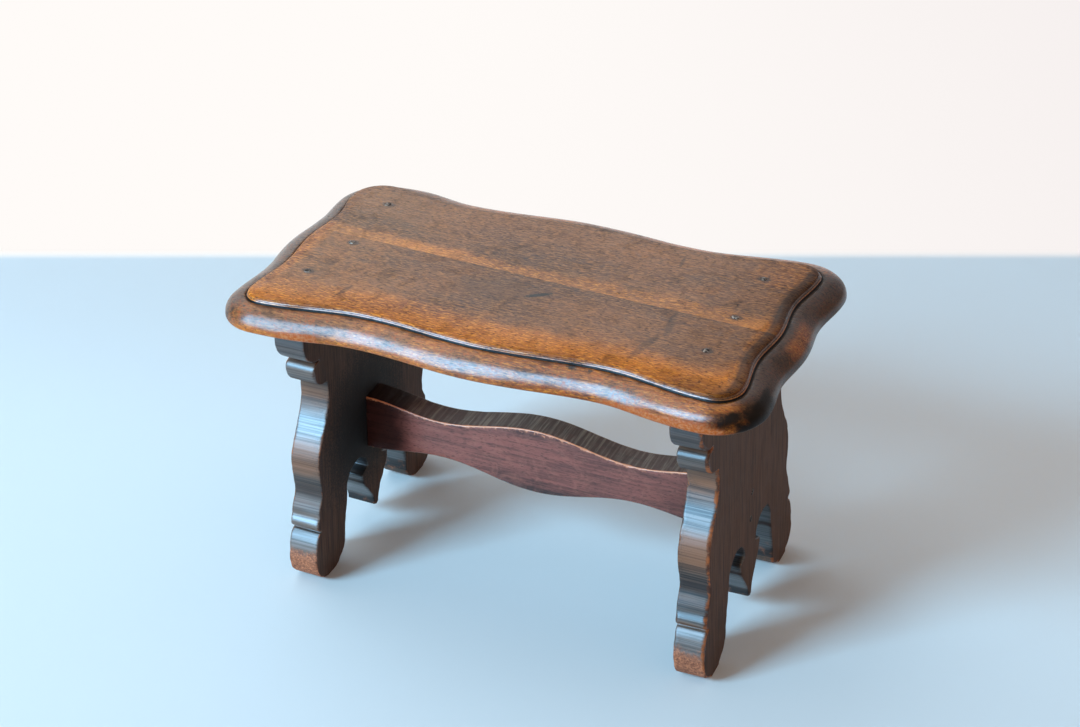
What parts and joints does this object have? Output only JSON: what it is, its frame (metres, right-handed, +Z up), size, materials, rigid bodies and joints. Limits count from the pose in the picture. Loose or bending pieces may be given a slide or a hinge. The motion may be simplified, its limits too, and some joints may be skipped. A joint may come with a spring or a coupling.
{
  "type": "footstool",
  "caption": "Small wooden trestle footstool with a moulded serpentine top, scroll-cut trestle ends with a pendant between the feet, and a shaped stretcher.",
  "frame": {"origin": "on the floor, under the middle of the stool's bounding box", "axes": "+X along the top, -Y to the front of the stool, +Z up"},
  "size_m": [0.327, 0.186, 0.2],
  "materials": {
    "top_wood": "waxed, worn to a warm orange at the edges",
    "trestle_wood": "dark stain, waxed",
    "stretcher_wood": "red-brown stain, waxed",
    "nail_iron": "dark, dull iron"
  },
  "bodies": {
    "root": {"top_board_front": "top_wood", "top_board_back": "top_wood", "trestle_left": "trestle_wood", "trestle_right": "trestle_wood", "stretcher": "stretcher_wood", "top_nails_left": "nail_iron", "top_nails_right": "nail_iron", "stretcher_nails_left": "nail_iron", "stretcher_nails_right": "nail_iron"}
  },
  "joints": []
}
